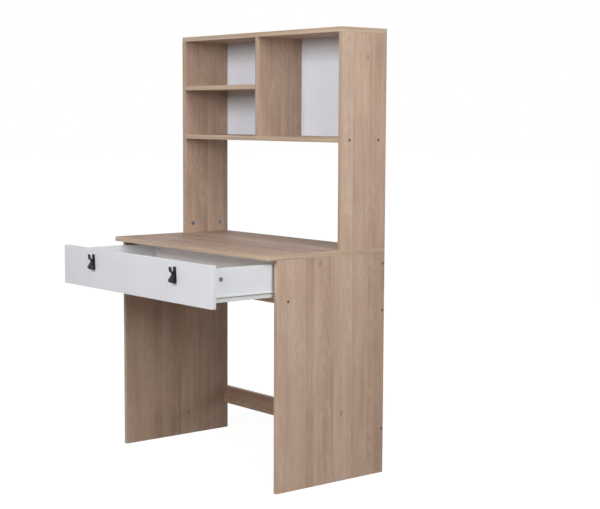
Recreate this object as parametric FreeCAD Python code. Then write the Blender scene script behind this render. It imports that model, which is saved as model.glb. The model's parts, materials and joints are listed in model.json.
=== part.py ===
import FreeCAD, Part
import math
import os
from FreeCAD import Vector

# Student desk with a hutch: millimetres, X to the right, Y to the back, Z up.
# The drawer stands partly open; the middle of the whole outline is the origin, on the floor.

# Boards
board_t = 16.0            # thickness of every laminated board
edge_t = 1.0              # thickness of the edge banding glued to the boards
outer_w = 880.0           # width over the legs, the desktop and the hutch
desk_h = 750.0            # floor to the top of the desktop
leg_depth = 450.0         # front to back of a leg panel
desk_overhang = 34.0      # desktop in front of the legs
desk_corner_r = 4.0       # front corners of the desktop

# Rails between the legs
rear_rail_h = 226.0       # upper rear rail, under the desktop
stretcher_h = 65.0        # lower rear stretcher
stretcher_z = 96.0        # floor to the lower edge of the stretcher
front_rail_depth = 60.0   # flat rail below the drawer, front to back
front_rail_setback = 26.0  # behind the front edges of the legs
front_rail_clear = 6.0    # air between this rail and the drawer

# Hutch
hutch_depth = 192.0
display_h = 343.0         # clear height between the desktop and the closed part
cubby_h = 333.0           # clear height inside the closed part
back_t = 3.0              # thin back panel, nailed on
back_inset = 5.0          # back panel inside the outline of the hutch

# Drawer
front_reveal = 8.0        # drawer front inside the outline at each side
front_h = 131.5
front_top_gap = 1.5       # below the desktop
drawer_gap = 1.5          # between the closed drawer front and the legs
drawer_open = 224.5       # how far the drawer stands open
drawer_side_h = 102.0
drawer_side_lift = 17.5   # lower edge of the drawer sides above that of the front
drawer_bottom_t = 3.0
groove_depth = 6.0        # grooves that hold the drawer bottom
groove_lift = 10.0        # above the lower edge of the drawer sides

# Roller runners
runner_rear_clear = 82.0  # air between a runner and the rear rail
runner_gap = 12.5         # between a drawer side and a leg
runner_setback = 2.0      # runner behind the leg edge or the drawer front
gauge = 1.2               # sheet steel of the runners
runner_h = 16.5           # moving member above the lower edge of the drawer side
ride_flange = 9.8         # flange of the moving member that rides on the front roller
foot_flange = 12.0        # flange of the moving member under the drawer side
channel_top = 8.0         # upper flange of the fixed member
channel_floor = 10.3      # lower flange of the fixed member
flange_gap = 1.0          # between the flanges of the two members
roller_r = 8.0
roller_w = 7.0
roller_gap = 0.3          # between a roller and the flanges
roller_play = 0.4         # beside a roller, at each end
roller_edge = 14.0        # roller centre from the end of its member
pin_r = 2.5
pin_fit = 0.05            # radial clearance of a roller on its pin
pin_head_r = 4.0
pin_head_t = 1.2

# Pulls: a leather strap folded into a loop
pull_x = 239.0            # pull from the middle of the drawer
pull_drop = 39.5          # fixing screw below the upper edge of the drawer front
strap_w = 22.0            # strap at the bottom of the loop
tail_w = 12.0             # strap at its ends
strap_t = 3.5
tail_up = 21.5            # strap ends above the screw
tail_out = 18.4           # front strap end in front of the drawer
tail_foot_up = 7.0        # foot of the front end above the screw
tail_foot_out = 16.6      # foot of the front end in front of the drawer
loop_down = 30.5          # loop below the screw, at the drawer
loop_front_down = 24.0    # loop below the screw, at its front
loop_out = 21.0           # front of the loop before its corner is rounded
neck_out = 4.5            # front strap at the screw before its bend is rounded
loop_rear_r = 6.0
loop_front_r = 6.0
neck_r = 6.0
tail_foot_r = 6.0
bush_r = 2.9
pull_screw_r = 2.0
pull_head_r = 3.0
pull_head_t = 1.8
pull_head_out = 11.6      # underside of the screw head in front of the drawer
pull_socket_r = 1.5       # hexagon socket of the pull screw, over its corners
pull_socket_t = 1.2
pull_screw_bite = 13.0    # screw inside the drawer front

# Fasteners
fit = 0.05                # radial clearance of a fastener in its hole
screw_margin = 34.0       # screws and cams from the edges of a hutch board
rail_screw_margin = 36.0  # screws from the edges of the rear rail
stretcher_screw_margin = 13.0
stretcher_dowel_margin = 16.0
front_rail_margin = 18.0  # screw and dowel from the edges of the front rail
leg_cam_margin = 120.0    # cams from the edges of a leg
leg_dowel_margin = 62.0   # dowels from the edges of a leg
board_screw_head_r = 5.0
board_screw_head_t = 3.0
board_screw_r = 3.5
board_screw_thread_r = 2.7
board_screw_bite = 34.0     # threaded part, inside the second board
socket_r = 2.3            # hexagon socket, over its corners
socket_t = 2.2
cam_r = 7.5
cam_t = 12.5
cam_set = 33.0            # cam centre from the joint
cam_cross_w = 1.3
cam_cross_l = 7.0
cam_cross_t = 1.5
cam_bolt_r = 3.2
cam_thread_r = 2.5
cam_thread_bite = 11.0
dowel_r = 4.0
dowel_in_face = 10.0
dowel_in_edge = 20.0
drawer_cam_up = 68.5      # above the lower edge of the drawer side
drawer_dowel_up = 36.0
drawer_screw_ups = (34.0, 82.0)
runner_screw_r = 1.6
runner_screw_head_r = 3.2
runner_screw_bite = 12.0
runner_screw_margin = 48.0  # outer screws from the ends of a runner
nail_r = 0.8
nail_head_r = 2.5
nail_head_t = 0.8
nail_bite = 15.0

# Heights and places that follow from the sizes above
side_names = {-1: "left", 1: "right"}
half_w = outer_w / 2
leg_in = half_w - board_t
z_under = desk_h - board_t
z_shelf = desk_h + display_h
z_cubby = z_shelf + board_t
z_cap = z_cubby + cubby_h
z_small = z_cubby + (cubby_h - board_t) / 2
z_front = z_under - front_top_gap - front_h
z_box = z_front + drawer_side_lift
z_ride = z_box + runner_h - gauge
z_channel = z_ride - flange_gap - gauge
z_front_roller = z_ride - roller_gap - roller_r
z_rear_roller = z_channel - roller_gap - roller_r
z_floor = z_rear_roller - roller_r - roller_gap
z_rail = z_box - gauge - front_rail_clear - board_t
z_pull = z_front + front_h - pull_drop
x_box = leg_in - runner_gap
runner_len = leg_depth - runner_setback - runner_rear_clear - board_t
runner_screw_places = (runner_screw_margin, runner_len / 2, runner_len - runner_screw_margin)


def turn_of(before, after):
    """Signed turn of a bend, from the direction before it to the one after it."""
    return math.atan2(before.x * after.y - before.y * after.x, before.dot(after))


def bent(points, radii, shift):
    """Edges of a path in XY with rounded bends, moved sideways by shift."""
    runs = [(b - a).normalize() for a, b in zip(points, points[1:])]
    norms = [Vector(-r.y, r.x, 0) for r in runs]
    moved = [points[0] + norms[0] * shift]
    for i in range(1, len(runs)):
        both = norms[i - 1] + norms[i]
        moved.append(points[i] + both * (shift / (1 + norms[i - 1].dot(norms[i]))))
    moved.append(points[-1] + norms[-1] * shift)
    edges = []
    start = moved[0]
    for i in range(1, len(runs)):
        turn = turn_of(runs[i - 1], runs[i])
        sense = math.copysign(1, turn)
        radius = radii[i - 1] - sense * shift
        cut = radius * math.tan(abs(turn) / 2)
        entry = moved[i] - runs[i - 1] * cut
        leave = moved[i] + runs[i] * cut
        centre = entry + norms[i - 1] * (sense * radius)
        top = centre + (moved[i] - centre).normalize() * radius
        edges.append(Part.makeLine(start, entry))
        edges.append(Part.Arc(entry, top, leave).toShape())
        start = leave
    edges.append(Part.makeLine(start, moved[-1]))
    return edges


def block(xs, ys, zs):
    return Part.makeBox(xs[1] - xs[0], ys[1] - ys[0], zs[1] - zs[0], Vector(xs[0], ys[0], zs[0]))


def across(side, near, far):
    """X range between two distances from the middle, on one side of the desk."""
    return (near, far) if side > 0 else (-far, -near)


def turned(start, along, steps, grow=0.0):
    """Round stepped solid of (radius, length) steps."""
    points = [Vector()]
    at = 0.0
    for radius, length in steps:
        points.append(Vector(radius + grow, 0, at))
        at += length
        points.append(Vector(radius + grow, 0, at))
    points.append(Vector(0, 0, at))
    points.append(points[0])
    solid = Part.Face(Part.makePolygon(points)).revolve(Vector(), Vector(0, 0, 1), 360)
    solid.Placement = FreeCAD.Placement(start, FreeCAD.Rotation(Vector(0, 0, 1), along))
    return solid


def socket(start, along, radius, depth):
    """Hexagon recess in a screw head."""
    corners = [Vector(radius * math.cos(i * math.pi / 3), radius * math.sin(i * math.pi / 3), 0)
               for i in range(7)]
    recess = Part.Face(Part.makePolygon(corners)).extrude(Vector(0, 0, depth))
    recess.Placement = FreeCAD.Placement(start, FreeCAD.Rotation(Vector(0, 0, 1), along))
    return recess


nodes = {}
holes = {}


def add(name, *solids):
    nodes.setdefault(name, []).extend(solids)


def drill(cutter, boards):
    for name in boards:
        holes.setdefault(name, []).append(cutter)


def board_screw(group, start, along, boards):
    """Flush furniture screw through one board into the edge of another."""
    steps = ((board_screw_head_r, board_screw_head_t),
             (board_screw_r, board_t - board_screw_head_t),
             (board_screw_thread_r, board_screw_bite))
    add(group, turned(start, along, steps).cut(socket(start, along, socket_r, socket_t)))
    drill(turned(start, along, steps, fit), boards)


def dowel(group, joint, along, boards):
    """Beech pin across a joint, deeper in the board whose edge it enters."""
    start = joint - along * dowel_in_face
    steps = ((dowel_r, dowel_in_face + dowel_in_edge),)
    add(group, turned(start, along, steps))
    drill(turned(start, along, steps, fit), boards)


def cam(prefix, face, inward, toward, board, mate):
    """Cam lock in the face of one board, with its bolt in the other."""
    centre = face + inward * (board_t / 2)
    lock_steps = ((cam_r, cam_t),)
    bolt_steps = ((cam_bolt_r, cam_set), (cam_thread_r, cam_thread_bite))
    aside = inward.cross(toward)
    lock = turned(face, inward, lock_steps).cut(turned(centre, toward, bolt_steps, fit))
    for along, wide in ((toward, aside), (aside, toward)):
        corner = face - along * (cam_cross_l / 2) - wide * (cam_cross_w / 2)
        sides = (along * cam_cross_l, wide * cam_cross_w)
        ring = [corner, corner + sides[0], corner + sides[0] + sides[1], corner + sides[1], corner]
        lock = lock.cut(Part.Face(Part.makePolygon(ring)).extrude(inward * cam_cross_t))
    add(prefix + "_cam_locks", lock)
    add(prefix + "_cam_bolts", turned(centre, toward, bolt_steps))
    drill(turned(face, inward, lock_steps, fit), (board,))
    drill(turned(centre, toward, bolt_steps, fit), (board, mate))


# Leather strap of a pull, seen from its side: distance from the drawer front, then height
strap_path = [Vector(strap_t / 2, tail_up, 0),
              Vector(strap_t / 2, -loop_down, 0),
              Vector(loop_out, -loop_front_down, 0),
              Vector(neck_out, 0, 0),
              Vector(tail_foot_out, tail_foot_up, 0),
              Vector(tail_out, tail_up, 0)]
strap_radii = (loop_rear_r, loop_front_r, neck_r, tail_foot_r)
strap_outer = bent(strap_path, strap_radii, -strap_t / 2)
strap_inner = bent(strap_path, strap_radii, strap_t / 2)
strap_ends = [Part.makeLine(strap_outer[i].Vertexes[k].Point, strap_inner[i].Vertexes[k].Point)
              for i, k in ((0, 0), (-1, -1))]
strap_wire = Part.Wire(Part.__sortEdges__(strap_outer + strap_inner + strap_ends))
strap_face = Part.Face(strap_wire)
pull_reach = strap_face.BoundBox.XMax

# Depth of the whole outline, and the faces that follow from its middle
overall_d = pull_reach + drawer_open + board_t + drawer_gap + leg_depth + back_t + nail_head_t
y_rear = overall_d / 2 - nail_head_t - back_t
y_leg = y_rear - leg_depth
y_hutch = y_rear - hutch_depth
y_face = y_leg - drawer_gap - board_t - drawer_open
y_box = y_face + board_t
y_box_end = y_box + runner_len
y_runner = y_leg + runner_setback

left, right = Vector(-1, 0, 0), Vector(1, 0, 0)
front, back = Vector(0, -1, 0), Vector(0, 1, 0)
down, up = Vector(0, 0, -1), Vector(0, 0, 1)


def desk_outline(inset):
    """Desktop seen from above, with rounded front corners."""
    x = half_w - inset
    rear = y_rear - inset
    fore = y_leg - desk_overhang + inset
    r = desk_corner_r - inset
    k = r * (1 - math.sqrt(0.5))
    right_arc = (Vector(x, fore + r, 0), Vector(x - k, fore + k, 0), Vector(x - r, fore, 0))
    left_arc = (Vector(r - x, fore, 0), Vector(k - x, fore + k, 0), Vector(-x, fore + r, 0))
    edges = [Part.makeLine(Vector(-x, rear, 0), Vector(x, rear, 0)),
             Part.makeLine(Vector(x, rear, 0), right_arc[0]),
             Part.Arc(*right_arc).toShape(),
             Part.makeLine(right_arc[2], left_arc[0]),
             Part.Arc(*left_arc).toShape(),
             Part.makeLine(left_arc[2], Vector(-x, rear, 0))]
    face = Part.Face(Part.Wire(edges))
    face.translate(Vector(0, 0, z_under))
    return face


desk_core = desk_outline(edge_t).extrude(up * board_t)
add("desktop", desk_core)
add("desktop_edge_band", desk_outline(0).extrude(up * board_t).cut(desk_core))

# Leg panels and hutch sides, banded on their front and rear edges
for side, word in side_names.items():
    xs = across(side, leg_in, half_w)
    for name, fore, zs in (("leg_", y_leg, (0, z_under)), ("hutch_", y_hutch, (desk_h, z_cap))):
        add(name + word, block(xs, (fore + edge_t, y_rear - edge_t), zs))
        bands = name + word + "_edge_bands"
        add(bands, block(xs, (fore, fore + edge_t), zs), block(xs, (y_rear - edge_t, y_rear), zs))

# Rails between the legs
inside = (-leg_in, leg_in)
rear_ys = (y_rear - board_t, y_rear)
z_rear_rail = z_under - rear_rail_h
add("rear_rail", block(inside, rear_ys, (z_rear_rail + edge_t, z_under)))
add("lower_stretcher",
    block(inside, rear_ys, (stretcher_z + edge_t, stretcher_z + stretcher_h - edge_t)))
y_rail = y_leg + front_rail_setback
rail_zs = (z_rail, z_rail + board_t)
add("front_rail", block(inside, (y_rail + edge_t, y_rail + front_rail_depth), rail_zs))
add("rail_edge_bands",
    block(inside, rear_ys, (z_rear_rail, z_rear_rail + edge_t)),
    block(inside, rear_ys, (stretcher_z, stretcher_z + edge_t)),
    block(inside, rear_ys, (stretcher_z + stretcher_h - edge_t, stretcher_z + stretcher_h)),
    block(inside, (y_rail, y_rail + edge_t), rail_zs))

# Closed part of the hutch
cap_zs = (z_cap, z_cap + board_t)
cap_core = block((-half_w + edge_t, half_w - edge_t), (y_hutch + edge_t, y_rear - edge_t), cap_zs)
add("hutch_top", cap_core)
add("hutch_top_edge_band", block((-half_w, half_w), (y_hutch, y_rear), cap_zs).cut(cap_core))
half_t = board_t / 2
inner_boards = (("hutch_shelf", inside, (z_shelf, z_cubby)),
                ("hutch_divider", (-half_t, half_t), (z_cubby, z_cap)),
                ("hutch_small_shelf", (-leg_in, -half_t), (z_small, z_small + board_t)))
for name, xs, zs in inner_boards:
    add(name, block(xs, (y_hutch + edge_t, y_rear), zs))
    add("hutch_shelf_edge_bands", block(xs, (y_hutch, y_hutch + edge_t), zs))
back_x = half_w - back_inset
back_zs = (z_shelf + back_inset, z_cap + board_t - back_inset)
add("hutch_back", block((-back_x, back_x), (y_rear, y_rear + back_t), back_zs))

# Drawer box and its front
front_x = half_w - front_reveal
front_zs = (z_front, z_front + front_h)
front_core = block((-front_x + edge_t, front_x - edge_t), (y_face, y_box),
                   (front_zs[0] + edge_t, front_zs[1] - edge_t))
add("drawer_front", front_core)
add("drawer_front_edge_band", block((-front_x, front_x), (y_face, y_box), front_zs).cut(front_core))
z_box_top = z_box + drawer_side_h
box_in = x_box - board_t
z_groove = z_box + groove_lift
groove_zs = (z_groove, z_groove + drawer_bottom_t)
for side, word in side_names.items():
    xs = across(side, box_in, x_box)
    add("drawer_side_" + word, block(xs, (y_box, y_box_end), (z_box, z_box_top - edge_t)))
    add("drawer_edge_bands", block(xs, (y_box, y_box_end), (z_box_top - edge_t, z_box_top)))
back_ys = (y_box_end - board_t, y_box_end)
add("drawer_back", block((-box_in, box_in), back_ys, (groove_zs[1], z_box_top - edge_t)))
add("drawer_edge_bands", block((-box_in, box_in), back_ys, (z_box_top - edge_t, z_box_top)))
bottom_x = box_in + groove_depth
drawer_floor = block((-bottom_x, bottom_x), (y_box - groove_depth, y_box_end), groove_zs)
add("drawer_bottom", drawer_floor)
drill(drawer_floor, ("drawer_front", "drawer_side_left", "drawer_side_right"))

# Roller runners: a channel on each leg, an angle on each drawer side
roller_steps = ((roller_r, roller_w),)
pin_hole = pin_r + pin_fit
y_front_roller = y_runner + roller_edge
y_rear_roller = y_box_end - roller_edge
y_channel_top = y_front_roller + roller_r + runner_setback
for side, word in side_names.items():
    out, inward = (right, left) if side > 0 else (left, right)
    runner_ys = (y_runner, y_runner + runner_len)
    member = block(across(side, leg_in - gauge, leg_in), runner_ys, (z_floor - gauge, z_channel + gauge))
    member = member.fuse([
        block(across(side, leg_in - channel_floor, leg_in), runner_ys, (z_floor - gauge, z_floor)),
        block(across(side, leg_in - channel_top, leg_in), (y_channel_top, runner_ys[1]),
              (z_channel, z_channel + gauge))]).removeSplitter()
    add("runner_fixed_" + word, member)
    slide_ys = (y_box + runner_setback, y_box_end)
    angle = block(across(side, x_box, x_box + gauge), slide_ys, (z_box - gauge, z_ride + gauge))
    angle = angle.fuse([
        block(across(side, x_box, x_box + ride_flange), slide_ys, (z_ride, z_ride + gauge)),
        block(across(side, x_box - foot_flange, x_box + gauge), slide_ys, (z_box - gauge, z_box))])
    add("runner_moving_" + word, angle.removeSplitter())
    # Rollers turn on pins riveted to the steel
    pin_steps = ((pin_r, gauge + roller_play + roller_w + roller_play), (pin_head_r, pin_head_t))
    for name, x, y, z, along in (("front", leg_in, y_front_roller, z_front_roller, inward),
                                 ("rear", x_box, y_rear_roller, z_rear_roller, out)):
        start = Vector(side * x, y, z)
        member_name = ("runner_fixed_" if name == "front" else "runner_moving_") + word
        add(name + "_roller_pins", turned(start, along, pin_steps))
        drill(turned(start, along, pin_steps, fit), (member_name,))
        wheel = turned(start + along * (gauge + roller_play), along, roller_steps)
        bore = turned(start, along, ((pin_hole, gauge + roller_w + roller_edge),))
        add(name + "_roller_" + word, wheel.cut(bore))
    # Flat-headed screws, flush with the steel
    screw_steps = ((runner_screw_head_r, gauge), (runner_screw_r, runner_screw_bite))
    for place in runner_screw_places:
        z_screw = z_box + runner_h / 2 - gauge
        for member, x, y, along, board in (("runner_fixed", leg_in - gauge, y_runner, out, "leg_"),
                                           ("runner_moving", x_box + gauge, y_box, inward, "drawer_side_")):
            start = Vector(side * x, y + place, z_screw)
            add(member + "_screws", turned(start, along, screw_steps))
            drill(turned(start, along, screw_steps, fit), (member + "_" + word, board + word))

# Leather pulls, each held by a screw through a bush
for side, word in side_names.items():
    strap = strap_face.copy()
    strap.Placement = FreeCAD.Placement(Vector(side * pull_x - strap_w / 2, y_face, z_pull),
                                        FreeCAD.Rotation(front, up, right, "XYZ"))
    name = "pull_" + word
    foot = Vector(side * pull_x, y_face, z_pull)
    # Seen from the front the strap narrows from its loop to its ends
    lows = [foot + right * (k * strap_w / 2) + up * strap_face.BoundBox.YMin for k in (-1, 1)]
    highs = [foot + right * (k * tail_w / 2) + up * strap_face.BoundBox.YMax for k in (1, -1)]
    taper = Part.Face(Part.makePolygon(lows + highs + lows[:1])).extrude(front * (pull_reach + strap_t))
    strap_solid = strap.extrude(right * strap_w).common(taper)
    seat = foot + front * pull_head_out
    screw_steps = ((pull_screw_r, pull_screw_bite + pull_head_out), (pull_head_r, pull_head_t))
    screw = turned(foot + back * pull_screw_bite, front, screw_steps)
    screw_hole = turned(foot + back * pull_screw_bite, front, screw_steps, fit)
    bush = turned(foot + front * strap_t, front, ((bush_r, pull_head_out - strap_t),))
    add(name, strap_solid)
    add("pull_screws", screw.cut(socket(seat + front * pull_head_t, back, pull_socket_r, pull_socket_t)))
    add("pull_bushes", bush.cut([strap_solid, screw_hole]))
    drill(screw_hole, (name, "drawer_front"))

# Screws, cams and dowels of the legs
leg_mid = leg_in + half_t
for side, word in side_names.items():
    leg = "leg_" + word
    inward = left if side > 0 else right
    face_x = side * half_w
    joint_x = side * leg_in
    y_rear_mid = y_rear - half_t
    for z in (z_under - rail_screw_margin, z_rear_rail + rail_screw_margin):
        board_screw("leg_screws", Vector(face_x, y_rear_mid, z), inward, (leg, "rear_rail"))
    z_screw = stretcher_z + stretcher_h - stretcher_screw_margin
    board_screw("leg_screws", Vector(face_x, y_rear_mid, z_screw), inward, (leg, "lower_stretcher"))
    dowel("desk_dowels", Vector(joint_x, y_rear_mid, stretcher_z + stretcher_dowel_margin), inward,
          (leg, "lower_stretcher"))
    z_mid = z_rail + half_t
    y_screw = y_rail + front_rail_margin
    board_screw("leg_screws", Vector(face_x, y_screw, z_mid), inward, (leg, "front_rail"))
    y_dowel = y_rail + front_rail_depth - front_rail_margin
    dowel("desk_dowels", Vector(joint_x, y_dowel, z_mid), inward, (leg, "front_rail"))
    for y in (y_leg + leg_cam_margin, y_rear - leg_cam_margin):
        cam("desk", Vector(joint_x, y, z_under - cam_set), inward * -1, up, leg, "desktop")
    for y in (y_leg + leg_dowel_margin, y_rear - leg_dowel_margin):
        dowel("desk_dowels", Vector(side * leg_mid, y, z_under), down, (leg, "desktop"))

# Screws, cams and dowels of the hutch
hutch_ys = (y_hutch + screw_margin, y_rear - screw_margin)
for side, word in side_names.items():
    wall = "hutch_" + word
    inward = left if side > 0 else right
    for y in hutch_ys:
        z_joint = z_shelf + half_t
        board_screw("hutch_screws", Vector(side * half_w, y, z_joint), inward, (wall, "hutch_shelf"))
        board_screw("hutch_screws", Vector(side * leg_mid, y, z_cap + board_t), down, ("hutch_top", wall))
        cam("desk", Vector(side * leg_in, y, desk_h + cam_set), inward * -1, down, wall, "desktop")
    dowel("desk_dowels", Vector(side * leg_mid, y_rear - hutch_depth / 2, desk_h), up, (wall, "desktop"))
for y in hutch_ys:
    board_screw("hutch_screws", Vector(0, y, z_cap + board_t), down, ("hutch_top", "hutch_divider"))
    board_screw("hutch_screws", Vector(0, y, z_shelf), up, ("hutch_shelf", "hutch_divider"))
    z_joint = z_small + half_t
    board_screw("hutch_screws", Vector(-half_w, y, z_joint), right, ("hutch_left", "hutch_small_shelf"))
    dowel("desk_dowels", Vector(-half_t, y, z_joint), left, ("hutch_divider", "hutch_small_shelf"))

# Nails of the hutch back, along the middle lines of the boards behind it
nail_steps = ((nail_head_r, nail_head_t), (nail_r, back_t + nail_bite))
z_mids = (z_shelf + half_t, z_cap + half_t)
z_third = (z_mids[1] - z_mids[0]) / 3
nail_spots = [(x, z) for x in (-leg_mid, -leg_mid / 2, 0, leg_mid / 2, leg_mid) for z in z_mids]
nail_spots += [(x, z_mids[0] + z_third * k) for x in (-leg_mid, 0, leg_mid) for k in (1, 2)]
nail_boards = ("hutch_back", "hutch_left", "hutch_right", "hutch_left_edge_bands", "hutch_right_edge_bands",
               "hutch_top", "hutch_top_edge_band", "hutch_shelf", "hutch_divider")
for x, z in nail_spots:
    start = Vector(x, y_rear + back_t + nail_head_t, z)
    add("back_nails", turned(start, front, nail_steps))
    drill(turned(start, front, nail_steps, fit), nail_boards)

# Screws, cams and dowels of the drawer
for side, word in side_names.items():
    wall = "drawer_side_" + word
    inward = left if side > 0 else right
    for rise in drawer_screw_ups:
        place = Vector(side * x_box, y_box_end - half_t, z_box + rise)
        board_screw("drawer_screws", place, inward, (wall, "drawer_back"))
    place = Vector(side * x_box, y_box + cam_set, z_box + drawer_cam_up)
    cam("drawer", place, inward, front, wall, "drawer_front")
    place = Vector(side * (x_box - half_t), y_box, z_box + drawer_dowel_up)
    dowel("drawer_dowels", place, back, (wall, "drawer_front"))

os.makedirs("parts", exist_ok=True)
for name, solids in nodes.items():
    cut = [s.cut(holes[name]) if name in holes else s for s in solids]
    found = [solid for shape in cut for solid in shape.Solids]
    shape = found[0] if len(found) == 1 else Part.makeCompound(found)
    shape.exportStep("parts/" + name + ".step")
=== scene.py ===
import json
import math
import bmesh
import bpy
from mathutils import Matrix, Vector

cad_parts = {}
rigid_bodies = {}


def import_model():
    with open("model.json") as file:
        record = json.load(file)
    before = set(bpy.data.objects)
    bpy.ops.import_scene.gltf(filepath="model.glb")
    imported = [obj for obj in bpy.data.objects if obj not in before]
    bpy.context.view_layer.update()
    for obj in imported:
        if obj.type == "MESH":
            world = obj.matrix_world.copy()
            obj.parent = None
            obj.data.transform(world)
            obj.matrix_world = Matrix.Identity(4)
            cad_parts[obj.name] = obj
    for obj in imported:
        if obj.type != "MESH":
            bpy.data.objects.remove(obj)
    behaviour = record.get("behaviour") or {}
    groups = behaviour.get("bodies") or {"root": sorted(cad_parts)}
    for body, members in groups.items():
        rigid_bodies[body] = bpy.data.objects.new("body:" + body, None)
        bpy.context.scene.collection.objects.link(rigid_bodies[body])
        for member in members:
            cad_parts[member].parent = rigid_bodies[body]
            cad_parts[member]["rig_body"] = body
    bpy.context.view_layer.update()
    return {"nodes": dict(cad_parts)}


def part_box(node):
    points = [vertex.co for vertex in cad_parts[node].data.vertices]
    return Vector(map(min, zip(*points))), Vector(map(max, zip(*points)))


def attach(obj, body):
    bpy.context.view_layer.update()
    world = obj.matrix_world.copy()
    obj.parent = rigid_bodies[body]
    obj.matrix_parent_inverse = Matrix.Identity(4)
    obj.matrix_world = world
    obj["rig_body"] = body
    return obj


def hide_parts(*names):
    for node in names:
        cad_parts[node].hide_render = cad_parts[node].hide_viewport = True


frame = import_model()
nodes = frame["nodes"]
scene = bpy.context.scene
scene.view_settings.view_transform = "Standard"
mm = 0.001
noiseMean = 0.5
unit = (0.0, 1.0)


def hexLinear(code):
    # sRGB hex code to linear colour
    channels = [int(code[i:i + 2], 16) / 255 for i in (1, 3, 5)]
    return [c / 12.92 if c <= 0.04045 else ((c + 0.055) / 1.055) ** 2.4 for c in channels] + [1.0]


def wire(tree, node, inputs):
    # Sets or links sockets, given by name or as a list in their order
    pairs = inputs.items() if isinstance(inputs, dict) else enumerate(inputs)
    for socket, value in pairs:
        if isinstance(value, bpy.types.Node):
            value = value.outputs[0]
        if isinstance(value, bpy.types.NodeSocket):
            tree.links.new(value, node.inputs[socket])
        else:
            node.inputs[socket].default_value = value


def addNode(tree, kind, inputs=(), **settings):
    node = tree.nodes.new(kind)
    for key, value in settings.items():
        setattr(node, key, value)
    wire(tree, node, inputs)
    return node


def newMaterial(name):
    mat = bpy.data.materials.new(name)
    mat.use_nodes = True
    tree = mat.node_tree
    where = addNode(tree, "ShaderNodeTexCoord").outputs["Object"]
    return mat, tree, tree.nodes["Principled BSDF"], where


def paintRamp(node, stops):
    ramp = node.color_ramp
    while len(ramp.elements) < len(stops):
        ramp.elements.new(0.5)
    for element, (at, colour) in zip(ramp.elements, stops):
        element.position = at
        element.color = colour if len(colour) == 4 else hexLinear(colour)


oakLook = {
    "rosy": ("#94776A", "#C2A695", "#DCC5B4"),      # dark, mid and pale
    "straw": ("#907B65", "#BEA98E", "#D9C7AD"),
    "tones": (0.2, 0.5, 0.8),       # where dark, mid and pale lie on the scale of tones
    "pore": "#8E7462",
    "knot": "#735746",
    # Printed strips: where each begins across the board in metres, and its tone
    "strips": [(-0.5, 0.56), (-0.31, 0.44), (-0.21, 0.54), (-0.12, 0.55), (0.017, 0.44), (0.052, 0.53),
               (0.087, 0.47), (0.134, 0.57), (0.21, 0.5), (0.281, 0.45), (0.4, 0.55), (0.47, 0.43)],
    "stripReach": 0.5,      # the first strip begins this far before the middle
    "stripJump": 60.0,      # gives each strip a grain of its own
    "knots": [(0.17, 0.222), (0.077, 0.713), (0.2725, 1.365), (0.24, -0.18)],       # across, along
    "knotSwirl": (28 * mm, 120 * mm),       # reach across and along the grain
    "knotEye": (6 * mm, 13 * mm),
    "knotEdge": (1.0, 0.1),     # the eye darkens between these shares of its reach
    "knotDepth": 0.6,
    "swing": 0.75,      # how strongly a knot draws the grain aside
    # Layers of grain: size across and along, detail, roughness
    "broad": (26 * mm, 750 * mm, 4.0, 0.6),
    "streak": (8 * mm, 330 * mm, 3.0, 0.6),
    "hair": (2.4 * mm, 130 * mm, 2.0, 0.5),
    "cloud": (70 * mm, 200 * mm, 3.0, 0.55),
    "pores": (2.6 * mm, 26 * mm, 2.0, 0.5),     # real pores are 0.3 mm wide, drawn coarser to show
    "hue": (22 * mm, 520 * mm, 3.0, 0.6),
    "waver": 0.25,
    # How far each layer moves the tone; hair lines come and go with the clouds
    "broadShare": 0.32, "streakShare": 0.18, "cloudShare": 0.36,
    "hairClouds": (0.35, 0.65), "hairShare": (0.02, 0.3),
    "archReach": 48 * mm, "archPitch": 62 * mm,     # to each side, and from one arch to the next
    "archBend": 1.6, "archDrift": 3.0, "archClouds": (0.45, 0.62), "archShare": (0.0, 0.04),
    "strawNoise": (0.4, 0.7), "strawShare": (0.0, 0.6),
    "poreNoise": (0.4, 0.28), "poreShare": 0.22, "poreBump": 0.15, "poreDepth": 0.2 * mm,
    "gloss": (0.5, 0.64), "ior": 1.5, "specular": 0.2,
}


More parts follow.
